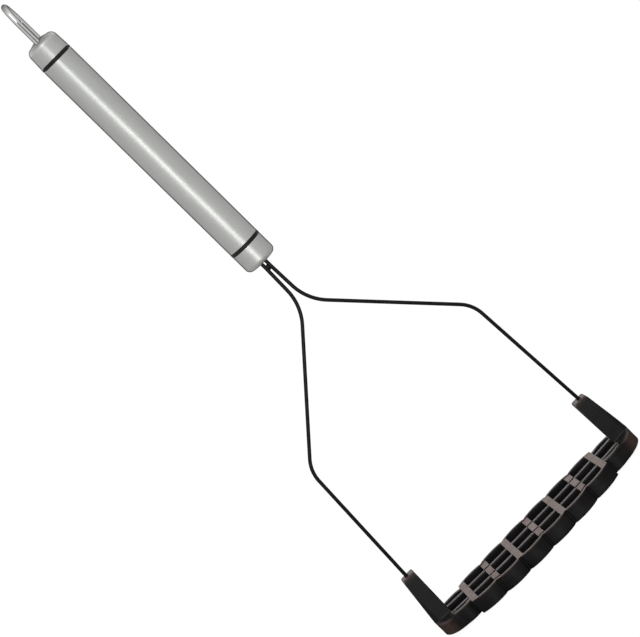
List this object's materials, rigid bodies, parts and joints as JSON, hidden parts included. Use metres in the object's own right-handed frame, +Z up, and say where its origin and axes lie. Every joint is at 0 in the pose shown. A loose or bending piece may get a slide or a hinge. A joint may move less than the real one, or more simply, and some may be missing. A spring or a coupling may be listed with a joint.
{
  "type": "potato masher",
  "caption": "Hand masher with a scalloped black grid head on two bent wire rods and a round satin steel handle with a hanging loop.",
  "frame": {"origin": "centre of the flat middle of the head's sole, on the surface that the masher stands on", "axes": "+Z up the handle's axis to the hanging loop, +X along the length of the head, +Y across its depth"},
  "size_m": [0.1212, 0.0462, 0.3321],
  "materials": {
    "loop_steel": "polished stainless wire",
    "handle_steel": "satin stainless steel",
    "ring_plastic": "satin black plastic",
    "plug_plastic": "plain grey moulding, hidden",
    "rod_coating": "semi-gloss black coated steel wire",
    "head_nylon": "satin black nylon moulding"
  },
  "bodies": {
    "root": {"hanging_loop": "loop_steel", "handle_top_cap": "handle_steel", "loop_anchor_plug": "plug_plastic", "top_accent_ring": "ring_plastic", "handle_tube": "handle_steel", "bottom_accent_ring": "ring_plastic", "handle_bottom_cap": "handle_steel", "rod_socket_plug": "plug_plastic", "left_rod": "rod_coating", "right_rod": "rod_coating", "masher_head": "head_nylon"}
  },
  "joints": []
}
